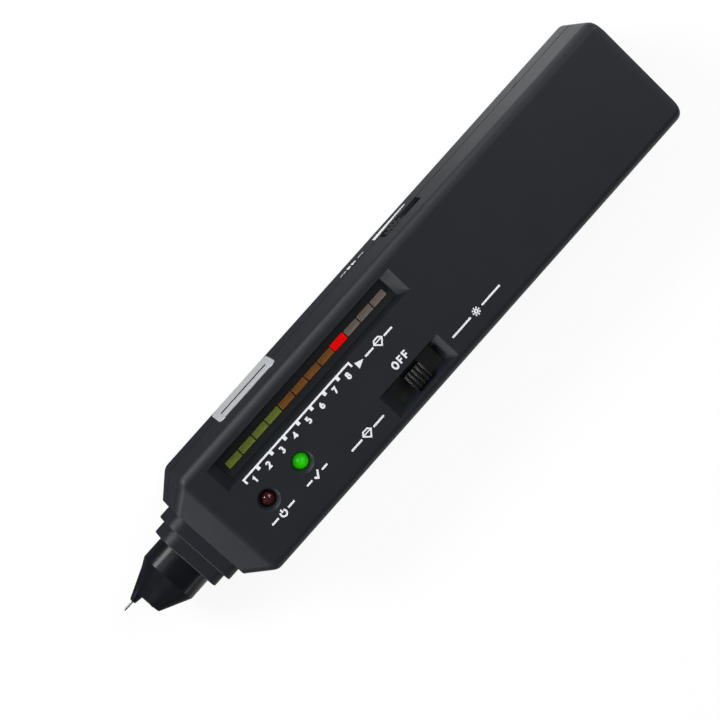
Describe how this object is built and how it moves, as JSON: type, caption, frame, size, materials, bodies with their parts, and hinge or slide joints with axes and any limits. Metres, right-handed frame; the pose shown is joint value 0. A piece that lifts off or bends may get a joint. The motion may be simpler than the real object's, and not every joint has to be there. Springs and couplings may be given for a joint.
{
  "type": "diamond tester",
  "caption": "Hand-held diamond tester: a charcoal two-part case with a sprung probe needle, a row of coloured indicator segments, a three-way slide switch, a thumbwheel and side touch plates.",
  "frame": {"origin": "middle of the bounding box's underside: the tester lies on its back", "axes": "-X towards the needle, +X towards the tail, +Y towards the thumbwheel side, +Z out of the front face"},
  "size_m": [0.1788, 0.0338, 0.024],
  "materials": {
    "case_plastic": "fine spark-eroded texture",
    "nozzle_plastic": "polished",
    "needle_steel": "ground",
    "guide_brass": "turned",
    "plug_plastic": "moulded",
    "clear_lamp": "cast",
    "board_laminate": "solder mask",
    "bezel_plastic": "moulded",
    "green_segment": "cast, unlit",
    "amber_segment": "cast, unlit",
    "milky_segment": "cast, unlit",
    "lit_segment": "cast, lit",
    "red_lamp": "cast, unlit",
    "green_lamp": "cast, lit",
    "switch_steel": "stamped",
    "knob_plastic": "moulded",
    "wheel_plastic": "moulded",
    "pot_plastic": "moulded",
    "plate_nickel": "nickel plated",
    "battery_can": "plain can",
    "snap_plastic": "moulded",
    "red_wire": "insulated",
    "black_wire": "insulated",
    "grey_wire": "insulated",
    "violet_wire": "insulated",
    "component_plastic": "moulded",
    "capacitor_sleeve": "shrunk sleeve",
    "screw_steel": "zinc plated"
  },
  "bodies": {
    "case": {"front_shell": "case_plastic", "rear_shell": "case_plastic", "nose_collar": "case_plastic", "probe_nozzle": "nozzle_plastic", "probe_guide": "guide_brass", "guide_plug": "plug_plastic", "probe_spring": "needle_steel", "uv_lamp": "clear_lamp", "main_board": "board_laminate", "display_bezel": "bezel_plastic", "segments_green": "green_segment", "segments_amber": "amber_segment", "segments_red": "milky_segment", "segment_lit": "lit_segment", "power_lamp": "red_lamp", "ready_lamp": "green_lamp", "switch_body": "switch_steel", "potentiometer": "pot_plastic", "touch_plate_left": "plate_nickel", "touch_plate_right": "plate_nickel", "battery": "battery_can", "battery_snap": "snap_plastic", "battery_lead_red": "red_wire", "battery_lead_black": "black_wire", "probe_leads": "grey_wire", "uv_leads": "violet_wire", "plate_leads": "grey_wire", "buzzer": "component_plastic", "driver_chips": "component_plastic", "capacitors": "capacitor_sleeve", "case_screws": "screw_steel", "board_screws": "screw_steel"},
    "probe": {"probe_needle": "needle_steel", "probe_plunger": "guide_brass"},
    "switch": {"switch_knob": "knob_plastic"},
    "wheel": {"thumbwheel": "wheel_plastic"},
    "door": {"battery_door": "case_plastic"}
  },
  "joints": [
    {"name": "probe_press", "type": "slide", "parent": "case", "child": "probe", "axis": [1, 0, 0], "range_m": [0, 0.002], "stiffness_N_per_m": 250, "deforming": ["probe_spring"]},
    {"name": "switch_slide", "type": "slide", "parent": "case", "child": "switch", "axis": [1, 0, 0], "range_m": [-0.004, 0.004]},
    {"name": "thumbwheel_turn", "type": "hinge", "parent": "case", "child": "wheel", "pos_m": [0.0219, 0.0088, 0.0122], "axis": [0, 0, 1], "range_deg": [-135, 135]},
    {"name": "battery_door_slide", "type": "slide", "parent": "case", "child": "door", "axis": [1, 0, 0], "range_m": [0, 0.052]}
  ]
}
